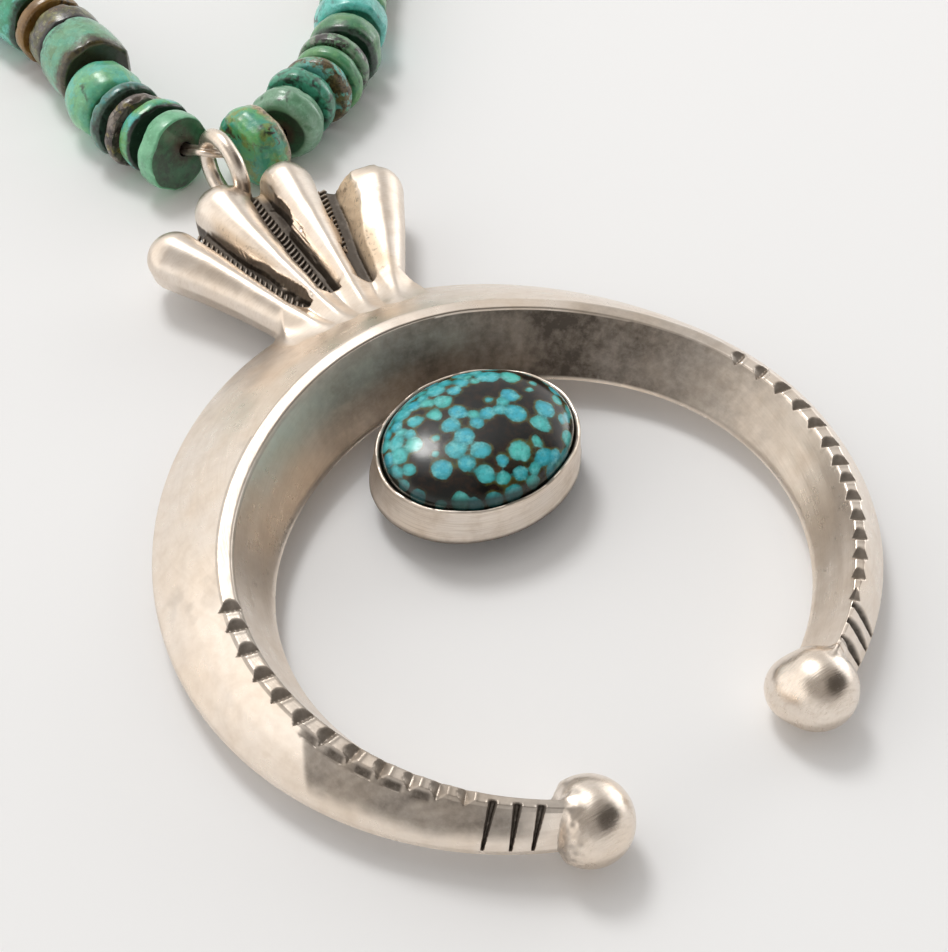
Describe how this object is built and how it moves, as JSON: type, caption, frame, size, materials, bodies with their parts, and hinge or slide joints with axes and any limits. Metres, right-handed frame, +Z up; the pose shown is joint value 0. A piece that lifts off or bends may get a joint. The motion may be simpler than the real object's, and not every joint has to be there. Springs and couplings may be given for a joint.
{
  "type": "beaded turquoise necklace with crescent pendant",
  "caption": "Necklace strand of turquoise disc beads carrying a cast silver crescent pendant with ball ends, a lobed fan top and an oval turquoise cabochon, lying flat.",
  "frame": {"origin": "centre of the bottom of the bounding box, on the surface that the necklace lies on", "axes": "+Z up from the surface; +Y from the pendant's ball ends towards the fan, the ring and the far end of the strand; +X to the right seen from the front with the fan away"},
  "size_m": [0.1446, 0.2921, 0.0117],
  "materials": {
    "silver": "satin",
    "cabochon": "polished",
    "turquoise": "satin",
    "wire": "satin"
  },
  "bodies": {
    "root": {"naja": "silver", "stone": "cabochon", "bead_L01": "turquoise", "bead_L02": "turquoise", "bead_L03": "turquoise", "bead_L04": "turquoise", "bead_L05": "turquoise", "bead_L06": "turquoise", "bead_L07": "turquoise", "bead_L08": "turquoise", "bead_L09": "turquoise", "bead_L10": "turquoise", "bead_L11": "turquoise", "bead_L12": "turquoise", "bead_L13": "turquoise", "bead_L14": "turquoise", "bead_L15": "turquoise", "bead_L16": "turquoise", "bead_L17": "turquoise", "bead_L18": "turquoise", "bead_L19": "turquoise", "bead_L20": "turquoise", "bead_R01": "turquoise", "bead_R02": "turquoise", "bead_R03": "turquoise", "bead_R04": "turquoise", "bead_R05": "turquoise", "bead_R06": "turquoise", "bead_R07": "turquoise", "bead_R08": "turquoise", "bead_R09": "turquoise", "bead_R10": "turquoise", "bead_R11": "turquoise", "bead_R12": "turquoise", "bead_R13": "turquoise", "bead_R14": "turquoise", "bead_R15": "turquoise", "bead_R16": "turquoise", "bead_R17": "turquoise", "bead_R18": "turquoise", "bead_R19": "turquoise", "bead_R20": "turquoise", "beads_joined_L1": "turquoise", "beads_joined_L2": "turquoise", "beads_joined_L3": "turquoise", "beads_joined_R1": "turquoise", "beads_joined_R2": "turquoise", "beads_joined_R3": "turquoise", "thread": "wire", "clasp": "silver"}
  },
  "joints": []
}
